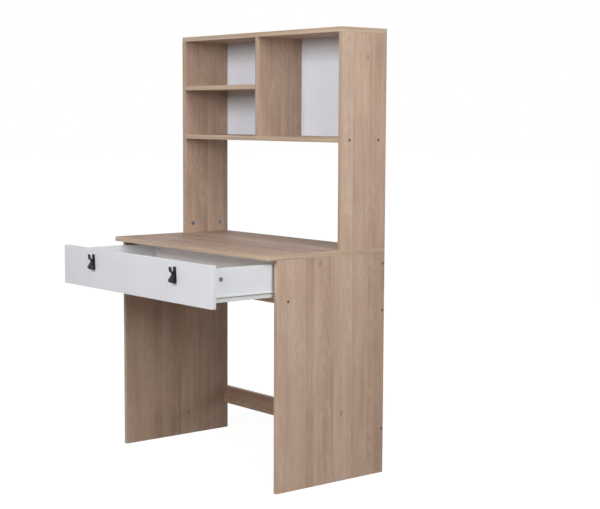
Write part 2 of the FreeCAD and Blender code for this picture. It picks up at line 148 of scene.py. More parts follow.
def oakMelamine(name, turn, lean, shift=(0, 0, 0), deeper=0.0):
    # Printed oak paper under melamine resin: dull satin over strips, soft streaks, arches and a few knots
    # lean lets upright faces of a sideways board show strips too; deeper is taken off the tone, as painted
    # shade
    mat, tree, shader, where = newMaterial(name)
    grain = addNode(tree, "ShaderNodeMapping", {"Vector": where, "Rotation": turn, "Location": shift})
    parts = addNode(tree, "ShaderNodeSeparateXYZ", [grain]).outputs
    along = parts["Z"]
    across = addNode(tree, "ShaderNodeMath", [parts["X"], lean, parts["Y"]], operation="MULTIPLY_ADD")
    reach = oakLook["stripReach"]
    fromFirst = addNode(tree, "ShaderNodeMath", [across, reach], operation="ADD")
    strips = addNode(tree, "ShaderNodeValToRGB", [fromFirst])
    strips.color_ramp.interpolation = "CONSTANT"
    paintRamp(strips, [(start + reach, [tone - deeper] * 3 + [1.0]) for start, tone in oakLook["strips"]])

    def fromMiddle(offset, size):
        scale = (1 / size[0], 1, 1 / size[1])
        scaled = addNode(tree, "ShaderNodeMapping", {"Vector": offset, "Scale": scale})
        return addNode(tree, "ShaderNodeVectorMath", [scaled], operation="LENGTH").outputs["Value"]

    # The grain swings round each knot
    flow, knots = across, 0.0
    for knotAcross, knotAlong in oakLook["knots"]:
        aside = addNode(tree, "ShaderNodeMath", [across, knotAcross], operation="SUBTRACT")
        above = addNode(tree, "ShaderNodeMath", [along, knotAlong], operation="SUBTRACT")
        offset = addNode(tree, "ShaderNodeCombineXYZ", {"X": aside, "Z": above})
        inSwirl = fromMiddle(offset, oakLook["knotSwirl"])
        swing = addNode(tree, "ShaderNodeMapRange", [inSwirl, *unit, -oakLook["swing"], 0.0],
                        interpolation_type="SMOOTHSTEP")
        flow = addNode(tree, "ShaderNodeMath", [aside, swing, flow], operation="MULTIPLY_ADD")
        inEye = fromMiddle(offset, oakLook["knotEye"])
        eye = addNode(tree, "ShaderNodeMapRange", [inEye, *oakLook["knotEdge"], 0.0, oakLook["knotDepth"]],
                      interpolation_type="SMOOTHSTEP")
        knots = addNode(tree, "ShaderNodeMath", [eye, knots], operation="MAXIMUM")
    lie = addNode(tree, "ShaderNodeCombineXYZ", [flow, strips, along])

    def layer(key):
        wide, long, detail, rough = oakLook[key]
        scale = (1 / wide, oakLook["stripJump"], 1 / long)
        at = addNode(tree, "ShaderNodeMapping", {"Vector": lie, "Scale": scale})
        return addNode(tree, "ShaderNodeTexNoise", {"Vector": at, "Scale": 1.0, "Detail": detail,
                                                    "Roughness": rough, "Distortion": oakLook["waver"]})

    cloud, streak = layer("cloud"), layer("streak")
    hair = addNode(tree, "ShaderNodeMath", [layer("hair"), noiseMean], operation="SUBTRACT")
    hairShare = addNode(tree, "ShaderNodeMapRange", [cloud, *oakLook["hairClouds"], *oakLook["hairShare"]])
    tone = addNode(tree, "ShaderNodeMath", [hair, hairShare, strips], operation="MULTIPLY_ADD")
    for noise, share in ((layer("broad"), "broadShare"), (streak, "streakShare"), (cloud, "cloudShare")):
        level = addNode(tree, "ShaderNodeMath", [noise, noiseMean], operation="SUBTRACT")
        tone = addNode(tree, "ShaderNodeMath", [level, oakLook[share], tone], operation="MULTIPLY_ADD")

    # Arches of flat-sawn wood, fading in and out with the clouds
    archReach = oakLook["archReach"]
    bend = oakLook["archBend"] / archReach
    aside = addNode(tree, "ShaderNodeMath", [flow, archReach, -archReach], operation="WRAP")
    aside = addNode(tree, "ShaderNodeMath", [aside, bend], operation="MULTIPLY")
    climb = addNode(tree, "ShaderNodeMath", [along, 1 / oakLook["archPitch"]], operation="MULTIPLY")
    climb = addNode(tree, "ShaderNodeMath", [cloud, oakLook["archDrift"], climb], operation="MULTIPLY_ADD")
    arch = addNode(tree, "ShaderNodeMath", [aside, aside, climb], operation="MULTIPLY_ADD")
    arch = addNode(tree, "ShaderNodeMath", [arch, math.tau], operation="MULTIPLY")
    arch = addNode(tree, "ShaderNodeMath", [arch], operation="SINE")
    fade = addNode(tree, "ShaderNodeMapRange", [cloud, *oakLook["archClouds"], *oakLook["archShare"]])
    tone = addNode(tree, "ShaderNodeMath", [arch, fade, tone], operation="MULTIPLY_ADD")

    hues = []
    for hue in ("rosy", "straw"):
        hues.append(addNode(tree, "ShaderNodeValToRGB", [tone]))
        paintRamp(hues[-1], list(zip(oakLook["tones"], oakLook[hue])))
    tint, straw = hues
    strawShare = addNode(tree, "ShaderNodeMapRange",
                         [layer("hue"), *oakLook["strawNoise"], *oakLook["strawShare"]])
    fleck = addNode(tree, "ShaderNodeMapRange", [layer("pores"), *oakLook["poreNoise"], *unit])
    poreShare = addNode(tree, "ShaderNodeMath", [fleck, oakLook["poreShare"]], operation="MULTIPLY")
    # A mix node takes its colours at sockets 6 and 7 and gives one at 2
    for share, over in ((strawShare, straw), (poreShare, hexLinear(oakLook["pore"])),
                        (knots, hexLinear(oakLook["knot"]))):
        tint = addNode(tree, "ShaderNodeMix", {0: share, 6: tint, 7: over}, data_type="RGBA").outputs[2]
    gloss = addNode(tree, "ShaderNodeMapRange", [streak, *unit, *oakLook["gloss"]])
    bump = addNode(tree, "ShaderNodeBump", {"Strength": oakLook["poreBump"],
                                            "Distance": oakLook["poreDepth"], "Height": fleck}, invert=True)
    wire(tree, shader, {"Base Color": tint, "Roughness": gloss, "Normal": bump, "IOR": oakLook["ior"],
                        "Specular IOR Level": oakLook["specular"]})
    return mat


edgeLook = {
    "shades": ("#A88F78", "#BDA58E", "#CDB8A2"),        # dark, mid and pale
    "tones": (0.28, 0.5, 0.72),     # where they lie on the scale of tones
    "fine": 4 * mm, "long": 260 * mm, "detail": 4.0,        # streaks across and along the band
    "gloss": (0.34, 0.46), "ior": 1.48, "specular": 0.4,
}


def oakEdgeBand(name, *ways, deeper=0.0):
    # Printed plastic strip: a little yellower than the boards, fine straight streaks along its length
    mat, tree, shader, where = newMaterial(name)
    stretch = [1 / edgeLook["long" if axis in ways else "fine"] for axis in "XYZ"]
    at = addNode(tree, "ShaderNodeMapping", {"Vector": where, "Scale": stretch})
    streak = addNode(tree, "ShaderNodeTexNoise", {"Vector": at, "Scale": 1.0, "Detail": edgeLook["detail"]})
    ramp = addNode(tree, "ShaderNodeValToRGB", [streak])
    # deeper moves the tones up, darkening the whole band as painted shade
    paintRamp(ramp, [(tone + deeper, shade) for tone, shade in zip(edgeLook["tones"], edgeLook["shades"])])
    gloss = addNode(tree, "ShaderNodeMapRange", [streak, *unit, *edgeLook["gloss"]])
    wire(tree, shader, {"Base Color": ramp, "Roughness": gloss, "IOR": edgeLook["ior"],
                        "Specular IOR Level": edgeLook["specular"]})
    return mat


skinLook = {
    "clouds": (0.3, 0.7), "cloudDetail": 4.0,
    "pebble": 1.6 * mm, "pebbleDetail": 2.0, "bump": 0.25,      # real skins are finer, drawn coarser to show
}


def mottled(name, shades, size, rough, relief, body):
    # A pressed or moulded finish: faint clouds of tone over a fine pebbled skin
    # body holds the IOR of the stuff, or for a metal how metallic it is
    mat, tree, shader, where = newMaterial(name)
    cloud = addNode(tree, "ShaderNodeTexNoise", {"Vector": where, "Scale": 1 / size,
                                                 "Detail": skinLook["cloudDetail"]})
    ramp = addNode(tree, "ShaderNodeValToRGB", [cloud])
    paintRamp(ramp, list(zip(skinLook["clouds"], shades)))
    gloss = addNode(tree, "ShaderNodeMapRange", [cloud, *skinLook["clouds"], *rough])
    pebble = addNode(tree, "ShaderNodeTexNoise", {"Vector": where, "Scale": 1 / skinLook["pebble"],
                                                  "Detail": skinLook["pebbleDetail"]})
    bump = addNode(tree, "ShaderNodeBump", {"Strength": skinLook["bump"], "Distance": relief,
                                            "Height": pebble})
    wire(tree, shader, {"Base Color": ramp, "Roughness": gloss, "Normal": bump, **body})
    return mat


leatherLook = {
    "black": "#0C0C0E", "worn": "#1D1D21", "wear": (0.42, 0.7),
    "pebble": 0.9 * mm, "bump": 0.5, "relief": 0.12 * mm,
    "crease": 7 * mm, "creaseDetail": 5.0,
    "rub": (0.3, 0.7), "gloss": (0.36, 0.58), "ior": 1.45, "specular": 0.3,
}


def blackLeather(name):
    # Dyed cowhide: pebbled, soft sheen on the high spots, rubbed greyer along the creases
    mat, tree, shader, where = newMaterial(name)
    pebble = addNode(tree, "ShaderNodeTexVoronoi", {"Vector": where, "Scale": 1 / leatherLook["pebble"]},
                     feature="DISTANCE_TO_EDGE").outputs["Distance"]
    wear = addNode(tree, "ShaderNodeTexNoise", {"Vector": where, "Scale": 1 / leatherLook["crease"],
                                                "Detail": leatherLook["creaseDetail"]})
    ramp = addNode(tree, "ShaderNodeValToRGB", [wear])
    paintRamp(ramp, list(zip(leatherLook["wear"], (leatherLook["black"], leatherLook["worn"]))))
    gloss = addNode(tree, "ShaderNodeMapRange", [wear, *leatherLook["rub"], *leatherLook["gloss"]])
    bump = addNode(tree, "ShaderNodeBump", {"Strength": leatherLook["bump"],
                                            "Distance": leatherLook["relief"], "Height": pebble})
    wire(tree, shader, {"Base Color": ramp, "Roughness": gloss, "Normal": bump, "IOR": leatherLook["ior"],
                        "Specular IOR Level": leatherLook["specular"]})
    return mat


# Oak print with the grain upright or along the desk; a shift takes another part of the pattern
upright, sideways = (0, 0, 0), (0, math.pi / 2, 0)      # turn of the grain
oakUpright = oakMelamine("oakMelamineUpright", upright, 0.0)
oakLeft = oakMelamine("oakMelamineLeft", upright, 0.0, (0, -0.004, 0.144))
oakInner = oakMelamine("oakMelamineInner", upright, 0.0, (0, 0.14, 0.47))
oakAlong = oakMelamine("oakMelamineAlong", sideways, 1.0)
oakLowShade = oakMelamine("oakMelamineLow", sideways, 1.0, (0, 0.04, 0), deeper=0.1)         # a darker strip, painted shade of the desk on the stretcher
oakDeskShade = oakMelamine("oakMelamineDesk", sideways, 1.0, (0, -0.75, 0), deeper=0.12)     # the darkest board, painted shade of the hutch over the desktop
bandUpright = oakEdgeBand("oakEdgeBandUpright", "Z")
bandHutchShade = oakEdgeBand("oakEdgeBandHutch", "Z", deeper=0.13)       # darker than the bands of the legs, painted shade on the hutch's front edges
bandAlong = oakEdgeBand("oakEdgeBandAlong", "X")
bandRound = oakEdgeBand("oakEdgeBandRound", "X", "Y")
# Cool white resin paper with a dull satin sheen
whiteMelamine = mottled("whiteMelamine", ("#E3E6EC", "#E7EAF0"), 90 * mm, (0.36, 0.46), 0.06 * mm,
                        {"IOR": 1.5})
# Brighter and more neutral white, for the back and the bottom of the drawer: painted light of the warm
# bounce inside it
drawerPaintedLight = mottled("whiteDrawerLining", ("#F1F0EF", "#F4F3F2"), 90 * mm, (0.4, 0.5), 0.06 * mm,
                       {"IOR": 1.5})
# White plastic strip, a touch glossier than the board it edges
whiteBand = mottled("whiteEdgeBand", ("#DFE0E3", "#E7E8EB"), 25 * mm, (0.3, 0.4), 0.04 * mm, {"IOR": 1.48})
# Thin white-faced board, matt and a little bluish
whiteHardboard = mottled("whiteFacedHardboard", ("#E7EEF8", "#EBF1FA"), 120 * mm, (0.5, 0.6), 0.05 * mm,
                         {"IOR": 1.5})
# Dull brown heads, a few tones under the oak
darkScrew = mottled("brownedSteel", ("#655346", "#806A5A"), 2 * mm, (0.45, 0.6), 0.05 * mm,
                    {"Metallic": 0.5})
# Grey cast metal with a soft sheen, neutral in the drawer and bluish in the desk
darkCam = mottled("darkZincCasting", ("#66686C", "#82848A"), 3 * mm, (0.4, 0.55), 0.05 * mm,
                  {"Metallic": 0.7})
camZinc = mottled("zincCasting", ("#5F6B78", "#7F8A96"), 3 * mm, (0.34, 0.5), 0.05 * mm, {"Metallic": 0.9})
# Pale plating of bolts, pins, nails and small screws
zincPlate = mottled("zincPlate", ("#C2C6CA", "#D6D9DC"), 3 * mm, (0.36, 0.5), 0.03 * mm, {"Metallic": 0.6})
# Bare turned wood, warm and matt
beechPin = mottled("beechDowel", ("#C8A27A", "#D6B48E"), 6 * mm, (0.55, 0.7), 0.1 * mm, {"IOR": 1.5})
# The glossiest white of the desk
runnerEnamel = mottled("whiteStoveEnamel", ("#D8D9DB", "#E4E5E6"), 18 * mm, (0.26, 0.36), 0.03 * mm,
                       {"IOR": 1.5})
# Waxy off-white plastic
nylonRoller = mottled("nylon", ("#D2D1CC", "#DFDED9"), 5 * mm, (0.42, 0.55), 0.04 * mm, {"IOR": 1.53})
# Black with a small clear glint
blackSteel = mottled("blackEnamelSteel", ("#141414", "#222120"), 2 * mm, (0.3, 0.45), 0.03 * mm,
                     {"IOR": 1.5})
# A shade greyer than the leather it holds
thread = mottled("waxedThread", ("#232326", "#3A393C"), 0.7 * mm, (0.5, 0.65), 0.05 * mm, {"IOR": 1.5})
leather = blackLeather("blackLeather")
print("materials:", len(bpy.data.materials))

finishes = {
    "desktop": oakDeskShade, "hutch_top": oakAlong, "hutch_shelf": oakAlong, "hutch_small_shelf": oakAlong,
    "rear_rail": oakAlong, "lower_stretcher": oakLowShade, "front_rail": oakAlong,
    "leg_left": oakLeft, "leg_right": oakUpright, "hutch_left": oakInner, "hutch_right": oakUpright,
    "hutch_divider": oakInner, "hutch_back": whiteHardboard, "drawer_bottom": drawerPaintedLight,
    "drawer_front": whiteMelamine, "drawer_side_left": whiteMelamine, "drawer_side_right": whiteMelamine,
    "drawer_back": drawerPaintedLight, "desk_dowels": beechPin, "drawer_dowels": beechPin,
    "desk_cam_bolts": zincPlate, "drawer_cam_bolts": zincPlate,
    "front_roller_pins": zincPlate, "rear_roller_pins": zincPlate, "pull_bushes": blackSteel,
}
for node, finish in finishes.items():
    nodes[node].data.materials.clear()
    nodes[node].data.materials.append(finish)


def standFor(piece, node):
    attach(piece, nodes[node]["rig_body"])
    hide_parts(node)


def pieceName(node):
    first, *rest = node.split("_")
    return first + "".join(word.title() for word in rest)


def asObject(name, mesh):
    piece = bpy.data.objects.new(name, mesh)
    scene.collection.objects.link(piece)
    return piece


meshCare = {"weld": 0.002 * mm, "flat": 1, "arris": 50, "crease": 40}       # a gap, then angles in degrees


def shadeByAngle(mesh):
    mesh.shade_smooth()
    mesh.set_sharp_from_angle(angle=math.radians(meshCare["crease"]))


def weldedCopy(node):
    bm = bmesh.new()
    bm.from_mesh(nodes[node].data)
    bmesh.ops.remove_doubles(bm, verts=bm.verts, dist=meshCare["weld"])
    return bm


def newTree(name, sockets):
    # A node tree with named inputs, and the identifiers that set them
    tree = bpy.data.node_groups.new(name, "GeometryNodeTree")
    tree.interface.new_socket("Geometry", in_out="OUTPUT", socket_type="NodeSocketGeometry")
    tree.interface.new_socket("Geometry", in_out="INPUT", socket_type="NodeSocketGeometry")
    keys = {}
    for socket, kind in sockets.items():
        made = tree.interface.new_socket(socket, in_out="INPUT", socket_type="NodeSocket" + kind)
        keys[socket] = made.identifier
    return tree, keys, addNode(tree, "NodeGroupInput").outputs


def endTree(tree, shape, finish):
    real = addNode(tree, "GeometryNodeRealizeInstances", [shape])
    real = addNode(tree, "GeometryNodeSetMaterial", {0: real, "Material": finish})
    addNode(tree, "NodeGroupOutput", [real])


def grow(name, treeAndKeys, points, edges, outs, values):
    # Runs a node tree on points or lines and keeps the result as a plain mesh
    tree, keys = treeAndKeys
    guide = bpy.data.meshes.new(name + "Guide")
    guide.from_pydata(points, edges, [])
    if outs:
        outward = guide.attributes.new("outward", "FLOAT_VECTOR", "POINT")
        outward.data.foreach_set("vector", [c for out in outs for c in out])
    carrier = asObject(guide.name, guide)
    modifier = carrier.modifiers.new(tree.name, "NODES")
    modifier.node_group = tree
    for socket, value in values.items():
        modifier[keys[socket]] = value
    evaluated = carrier.evaluated_get(bpy.context.evaluated_depsgraph_get())
    mesh = bpy.data.meshes.new_from_object(evaluated)
    mesh.name = name
    bpy.data.objects.remove(carrier)
    shadeByAngle(mesh)
    return asObject(name, mesh)


bands = {"thickness": 1.0 * mm, "round": 0.95 * mm, "corner": 1.0 * mm, "deskCorner": 4.0 * mm,
         "arcStep": 1.2 * mm, "arcLeast": 4, "roundSteps": 4}


def stripAlongLines():
    # A flat strip with eased corners laid along lines; each point says which way is out
    tree, keys, given = newTree("stripAlongLines", {"Width": "Float", "Thickness": "Float",
                                                    "Outer Round": "Float", "Inner Round": "Float",
                                                    "Finish": "Material"})
    outward = addNode(tree, "GeometryNodeInputNamedAttribute", {"Name": "outward"}, data_type="FLOAT_VECTOR")
    lines = addNode(tree, "GeometryNodeMeshToCurve", [given["Geometry"]])
    lines = addNode(tree, "GeometryNodeSetCurveNormal", {"Curve": lines, "Normal": outward}, mode="FREE")
    section = addNode(tree, "GeometryNodeCurvePrimitiveQuadrilateral", {"Width": given["Thickness"],
                                                                        "Height": given["Width"]})
    middle = addNode(tree, "ShaderNodeMath", [given["Thickness"], -0.5], operation="MULTIPLY")
    inward = addNode(tree, "ShaderNodeCombineXYZ", {"X": middle})
    section = addNode(tree, "GeometryNodeTransform", {0: section, "Translation": inward})
    place = addNode(tree, "ShaderNodeSeparateXYZ", [addNode(tree, "GeometryNodeInputPosition")])
    isOuter = addNode(tree, "ShaderNodeMath", [place, middle], operation="GREATER_THAN")
    radius = addNode(tree, "GeometryNodeSwitch", [isOuter, given["Inner Round"], given["Outer Round"]],
                     input_type="FLOAT")
    section = addNode(tree, "GeometryNodeFilletCurve", {"Curve": section, "Radius": radius,
                                                        "Count": bands["roundSteps"],
                                                        "Limit Radius": True}, mode="POLY")
    strip = addNode(tree, "GeometryNodeCurveToMesh", {"Curve": lines, "Profile Curve": section,
                                                      "Fill Caps": True})
    endTree(tree, strip, given["Finish"])
    return tree, keys


stripTree = stripAlongLines()


def layStrip(name, lines, width, thickness, outerRound, innerRound, finish):
    # lines: pairs of a list of (point, outward) and whether it closes
    points, edges, outs = [], [], []
    for run, closed in lines:
        first = len(points)
        points += [point for point, out in run]
        outs += [out for point, out in run]
        edges += [(first + i, first + i + 1) for i in range(len(run) - 1)]
        if closed:
            edges.append((len(points) - 1, first))
    return grow(name, stripTree, points, edges, outs, {"Width": width, "Thickness": thickness,
                                                       "Outer Round": outerRound, "Inner Round": innerRound,
                                                       "Finish": finish})


axisOf = {"X": 0, "Y": 1, "Z": 2}


def straightBand(node, face, along):
    # Middle line of a band on one face of a board, at its outer skin
    low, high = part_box(node)
    run = axisOf[along]
    normal = axisOf[face[1]]
    out = Vector((0, 0, 0))
    out[normal] = 1.0 if face[0] == "+" else -1.0
    start = (low + high) / 2
    start[normal] = (high if face[0] == "+" else low)[normal]
    start += out * bands["thickness"]
    end = start.copy()
    start[run], end[run] = low[run], high[run]
    return [(start, out), (end, out)], False


def ringBand(node, radii, plane):
    # Closed line of a band round a board, anticlockwise in the plane of two axes
    low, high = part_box(node)
    a, b = (axisOf[letter] for letter in plane)
    c = sum(axisOf.values()) - a - b        # the axis across that plane
    level = (low[c] + high[c]) / 2
    skin = bands["thickness"]
    x0, y0, x1, y1 = low[a] - skin, low[b] - skin, high[a] + skin, high[b] + skin
    corners = [Vector((x0, y0)), Vector((x1, y0)), Vector((x1, y1)), Vector((x0, y1))]
    run = []
    for i, (corner, r) in enumerate(zip(corners, radii)):
        before = (corner - corners[i - 1]).normalized()
        after = (corners[(i + 1) % len(corners)] - corner).normalized()
        centre = corner - before * r + after * r
        steps = max(bands["arcLeast"], int(r / bands["arcStep"]))
        for k in range(steps + 1):
            angle = math.pi / 2 * k / steps
            out = before * math.sin(angle) - after * math.cos(angle)
            skinPoint = centre + out * r
            point, outward = Vector((0, 0, 0)), Vector((0, 0, 0))
            point[a], point[b], point[c] = skinPoint.x, skinPoint.y, level
            outward[a], outward[b] = out.x, out.y
            run.append((point, outward))
    return run, True


tight, soft = bands["corner"], bands["deskCorner"]
# Piece, the node it stands for, finish and lines
bandRuns = [
    ("desktopEdgeBand", "desktop_edge_band", bandRound,
     [ringBand("desktop", (soft, soft, tight, tight), "XY")]),
    ("hutchTopEdgeBand", "hutch_top_edge_band", bandRound, [ringBand("hutch_top", [tight] * 4, "XY")]),
    ("drawerFrontEdgeBand", "drawer_front_edge_band", whiteBand,
     [ringBand("drawer_front", [tight] * 4, "XZ")]),
    ("hutchShelfEdgeBands", "hutch_shelf_edge_bands", bandAlong,
     [straightBand("hutch_shelf", "-Y", "X"), straightBand("hutch_small_shelf", "-Y", "X")]),
    ("hutchDividerEdgeBand", "hutch_shelf_edge_bands", bandHutchShade,
     [straightBand("hutch_divider", "-Y", "Z")]),
    ("railEdgeBands", "rail_edge_bands", bandAlong,
     [straightBand("rear_rail", "-Z", "X"), straightBand("lower_stretcher", "-Z", "X"),
      straightBand("lower_stretcher", "+Z", "X"), straightBand("front_rail", "-Y", "X")]),
    ("drawerEdgeBands", "drawer_edge_bands", whiteBand,
     [straightBand("drawer_side_left", "+Z", "Y"), straightBand("drawer_side_right", "+Z", "Y"),
      straightBand("drawer_back", "+Z", "X")]),
]
for board, finish in (("leg_left", bandUpright), ("leg_right", bandUpright), ("hutch_left", bandHutchShade),
                      ("hutch_right", bandHutchShade)):
    node = board + "_edge_bands"
    runs = [straightBand(board, face, "Z") for face in ("-Y", "+Y")]
    bandRuns.append((pieceName(node), node, finish, runs))
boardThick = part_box("desktop")[1].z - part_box("desktop")[0].z
for name, node, finish, runs in bandRuns:
    standFor(layStrip(name, runs, boardThick, bands["thickness"], bands["round"], 0.0, finish), node)
print("edge bands:", len(bandRuns))


ease = {"sheet": 0.4 * mm, "wheel": 0.7 * mm, "steps": 2, "profile": 0.5}


def easedCopy(node, width, finish):
    # The node's own shape with its arrises taken off
    bm = weldedCopy(node)
    bmesh.ops.dissolve_limit(bm, angle_limit=math.radians(meshCare["flat"]), verts=bm.verts, edges=bm.edges)
    least = math.radians(meshCare["arris"])
    sharp = [edge for edge in bm.edges if len(edge.link_faces) == 2 and edge.calc_face_angle() > least]
    bmesh.ops.bevel(bm, geom=sharp, offset=width, segments=ease["steps"], profile=ease["profile"],
                    affect="EDGES", clamp_overlap=True)
    mesh = bpy.data.meshes.new(pieceName(node))
    bm.to_mesh(mesh)
    bm.free()
    mesh.materials.append(finish)
    shadeByAngle(mesh)
    standFor(asObject(mesh.name, mesh), node)


for side in ("left", "right"):
    for member in ("runner_fixed_", "runner_moving_"):
        easedCopy(member + side, ease["sheet"], runnerEnamel)
    for wheel in ("front_roller_", "rear_roller_"):
        easedCopy(wheel + side, ease["wheel"], nylonRoller)
print("runners and rollers eased")


def fastenersOnPoints():
    # One fastener on every point, its axis along the point's outward direction
    tree, keys, given = newTree("fastenersOnPoints", {"Fastener": "Object", "Finish": "Material"})
    outward = addNode(tree, "GeometryNodeInputNamedAttribute", {"Name": "outward"}, data_type="FLOAT_VECTOR")
    spots = addNode(tree, "GeometryNodeMeshToPoints", [given["Geometry"]])
    source = addNode(tree, "GeometryNodeObjectInfo", {"Object": given["Fastener"]}).outputs["Geometry"]
    facing = addNode(tree, "FunctionNodeAlignRotationToVector", {"Vector": outward}, axis="Z")
    copies = addNode(tree, "GeometryNodeInstanceOnPoints", {"Points": spots, "Instance": source,
                                                            "Rotation": facing})
    endTree(tree, copies, given["Finish"])
    return tree, keys


fastenerTree = fastenersOnPoints()
heads = {"steps": 48, "crossArm": 0.2, "endDepth": 0.2 * mm}        # crossArm: width against length
# Rings of each fastener from the buried end to the middle of its head: shape, radius and height in mm
boardScrew = [("round", 2.7, -49.8), ("round", 2.7, -16), ("round", 3.5, -16), ("round", 3.5, -3),
              ("round", 4.9, -2.9), ("round", 5.0, -0.5), ("round", 4.6, -0.12), ("hex", 2.6, -0.05),
              ("hex", 2.3, -0.25), ("hex", 2.3, -2.2), ("round", 0.3, -2.4)]
runnerScrew = [("round", 1.6, -13.1), ("round", 1.6, -1.2), ("round", 3.1, -1.1), ("round", 3.2, -0.3),
               ("round", 2.9, -0.02), ("cross", 2.2, -0.02), ("cross", 2.0, -0.4), ("round", 0.2, -0.5)]
pullScrew = [("round", 2.0, -26.3), ("round", 2.0, -1.8), ("round", 3.0, -1.8), ("round", 3.0, -1.2),
             ("round", 2.7, -0.5), ("round", 2.2, -0.1), ("hex", 1.6, 0.0), ("hex", 1.5, -0.2),
             ("hex", 1.5, -1.1), ("round", 0.3, -1.2)]
panelNail = [("round", 0.8, -18.7), ("round", 0.8, -0.8), ("round", 2.4, -0.8), ("round", 2.5, -0.5),
             ("round", 2.2, -0.2), ("round", 1.2, -0.04), ("round", 0.3, 0.0)]
camLock = [("round", 7.3, -12.4), ("round", 7.4, -0.7), ("round", 7.1, -0.15), ("round", 6.2, -0.1),
           ("round", 6.0, -0.45), ("round", 5.0, -0.5), ("cross", 4.0, -0.5), ("cross", 3.7, -2.6),
           ("round", 0.4, -2.8)]


def recessRadius(shape, size, angle):
    if shape == "hex":
        part = angle % (math.pi / 3) - math.pi / 6
        return size * math.cos(math.pi / 6) / math.cos(part)
    if shape == "cross":
        tiny = 1e-9     # keeps the divisions below from zero
        c, s = abs(math.cos(angle)) + tiny, abs(math.sin(angle)) + tiny
        wide = size * heads["crossArm"]
        return max(min(size / c, wide / s), min(wide / c, size / s))
    return size


def turnedHead(name, rings):
    bm = bmesh.new()
    steps = heads["steps"]
    loops = []
    for shape, size, height in rings:
        loop = []
        for i in range(steps):
            angle = math.tau * i / steps
            r = recessRadius(shape, size * mm, angle)
            loop.append(bm.verts.new((r * math.cos(angle), r * math.sin(angle), height * mm)))
        loops.append(loop)
    for low, high in zip(loops, loops[1:]):
        for i in range(steps):
            k = (i + 1) % steps
            bm.faces.new((low[i], low[k], high[k], high[i]))
    bm.faces.new(list(reversed(loops[0])))
    bm.faces.new(loops[-1])
    mesh = bpy.data.meshes.new(name)
    bm.to_mesh(mesh)
    bm.free()
    return asObject(name, mesh)


def islands(node):
    # The separate solids of a node: low and high corner, and points
    bm = weldedCopy(node)
    left = set(bm.verts)
    found = []
    while left:
        stack = [left.pop()]
        points = []
        while stack:
            vert = stack.pop()
            points.append(vert.co.copy())
            for edge in vert.link_edges:
                other = edge.other_vert(vert)
                if other in left:
                    left.discard(other)
                    stack.append(other)
        low = Vector([min(p[i] for p in points) for i in range(3)])
        high = Vector([max(p[i] for p in points) for i in range(3)])
        found.append((low, high, points))
    bm.free()
    return found


def headSpots(node):
    # Middle and outward direction of each head: the end of the solid that is wider
    spots = []
    for low, high, points in islands(node):
        size = high - low
        axis = max(range(3), key=lambda i: size[i])
        middle = (low + high) / 2
        reach = {}
        for end in (low[axis], high[axis]):
            near = [p for p in points if abs(p[axis] - end) < heads["endDepth"]]
            reach[end] = max(math.dist(p[:axis] + p[axis + 1:], middle[:axis] + middle[axis + 1:])
                             for p in near)
        head = max(reach, key=reach.get)
        out = Vector((0, 0, 0))
        out[axis] = 1.0 if head == high[axis] else -1.0
        middle[axis] = head
        spots.append((middle, out))
    return spots


def camSpots(node, toMiddle):
    # A cam shows in the inner or the outer face of an upright board
    spots = []
    for low, high, points in islands(node):
        middle = (low + high) / 2
        face = -toMiddle if middle.x > 0 else toMiddle
        middle.x = high.x if face > 0 else low.x
        spots.append((middle, Vector((face, 0, 0))))
    return spots


def plantFasteners(node, rings, finish, spots):
    name = pieceName(node)
    source = turnedHead(name + "Source", rings)
    piece = grow(name, fastenerTree, [point for point, out in spots], [], [out for point, out in spots],
                 {"Fastener": source, "Finish": finish})
    bpy.data.objects.remove(source)
    standFor(piece, node)
    print("fasteners:", name, len(spots))


for node, rings, finish in (("leg_screws", boardScrew, darkScrew), ("hutch_screws", boardScrew, darkScrew),
                            ("drawer_screws", boardScrew, darkScrew),
                            ("runner_fixed_screws", runnerScrew, zincPlate),
                            ("runner_moving_screws", runnerScrew, zincPlate),
                            ("back_nails", panelNail, zincPlate), ("pull_screws", pullScrew, blackSteel)):
    plantFasteners(node, rings, finish, headSpots(node))
plantFasteners("desk_cam_locks", camLock, camZinc, camSpots("desk_cam_locks", 1))
plantFasteners("drawer_cam_locks", camLock, darkCam, camSpots("drawer_cam_locks", -1))

# Leather pulls: a strap folded into a loop, its path in mm seen from the side as (distance out, height)
pull = {
    "width": 22.0 * mm, "tailWidth": 12.0 * mm, "thickness": 3.3 * mm, "round": 1.1 * mm,
    "path": [(1.75, 21.4), (1.75, -30.5), (21.0, -24.0), (4.5, 0.0), (16.6, 7.0), (18.4, 21.4)],
    "bends": [6.0, 6.0, 6.0, 6.0], "bendStep": 0.6, "bendLeast": 3,
    "stitchInset": 2.2 * mm, "stitchPitch": 3.6 * mm, "stitchLength": 2.5 * mm, "thread": 0.8 * mm,
    "threadProud": 0.1 * mm, "beadSides": 8, "beadRings": 6,
    "stitchFacing": -0.2, "unstitched": 4,      # stitches face forward and skip a fourth of the strap
}


def roundedPath(points, radii):
    # Points and left-hand normals along straight runs joined by arcs
    pts = [Vector(p) for p in points]
    runs = [(b - a).normalized() for a, b in zip(pts, pts[1:])]
    out = [(pts[0], Vector((-runs[0].y, runs[0].x)))]
    for corner, before, after, radius in zip(pts[1:], runs, runs[1:], radii):
        turn = math.atan2(before.x * after.y - before.y * after.x, before.dot(after))
        cut = radius * math.tan(abs(turn) / 2)
        entry = corner - before * cut
        left = Vector((-before.y, before.x))
        centre = entry + left * (math.copysign(1, turn) * radius)
        count = max(pull["bendLeast"], int(radius * abs(turn) / pull["bendStep"]))
        for k in range(count + 1):
            spin = Matrix.Rotation(turn * k / count, 2)
            out.append((centre + spin @ (entry - centre), spin @ left))
    out.append((pts[-1], Vector((-runs[-1].y, runs[-1].x))))
    return out


